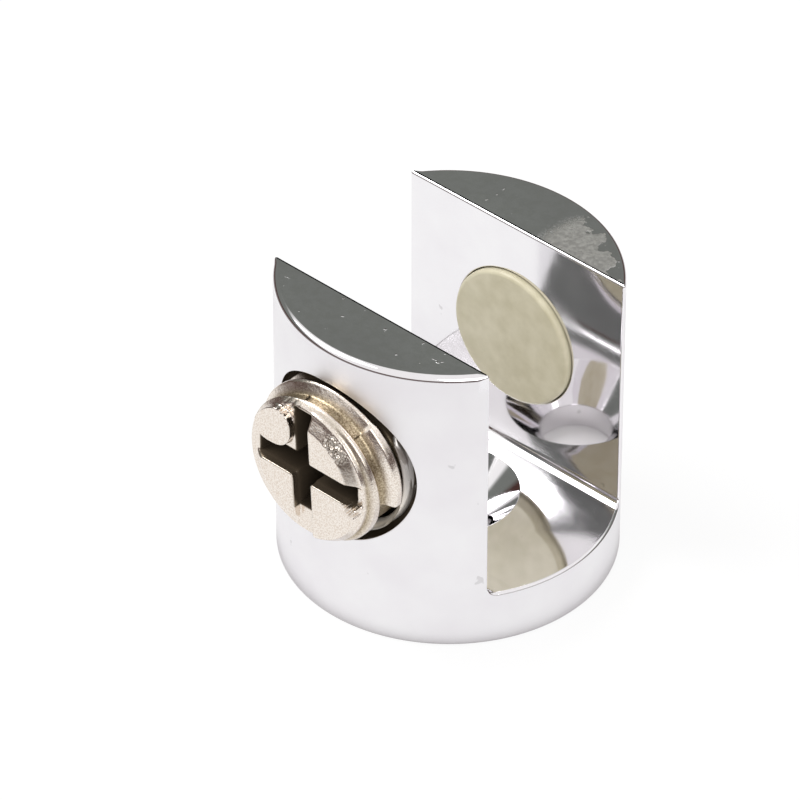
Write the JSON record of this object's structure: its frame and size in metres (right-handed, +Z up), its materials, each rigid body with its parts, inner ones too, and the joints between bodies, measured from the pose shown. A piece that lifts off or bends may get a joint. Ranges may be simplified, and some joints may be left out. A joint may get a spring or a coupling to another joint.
{
  "type": "glass panel clamp",
  "caption": "Slotted round metal clamp that holds the lower edge of a glass panel with a cross-slotted threaded screw and pads.",
  "frame": {"origin": "centre of the base face, on the axis of the fixing hole", "axes": "+Z up along the fixing hole; the clamping screw lies along +Y and its slotted end faces -Y; the panel runs along X"},
  "size_m": [0.02, 0.0222, 0.0192],
  "materials": {
    "chromed_zinc": "bright chrome plating over a die casting",
    "nickelled_zinc": "warm satin nickel plating over a rough die casting",
    "pad_plastic": "soft satin plastic, straw coloured"
  },
  "bodies": {
    "clamp": {"clamp_body": "chromed_zinc", "wall_pad": "pad_plastic"},
    "pad": {"tip_pad": "pad_plastic"},
    "screw": {"clamp_screw": "nickelled_zinc"}
  },
  "joints": [
    {"name": "screw_travel", "type": "slide", "parent": "clamp", "child": "pad", "axis": [0, 1, 0], "range_m": [-0.0015, 0.0045]},
    {"name": "screw_turn", "type": "hinge", "parent": "pad", "child": "screw", "pos_m": [0, 0, 0.0115], "axis": [0, 1, 0], "range_deg": [-360, 1080]}
  ],
  "couplings": [
    {"joint": "screw_turn", "follows": "screw_travel", "rad_per_m": 4188.8}
  ]
}
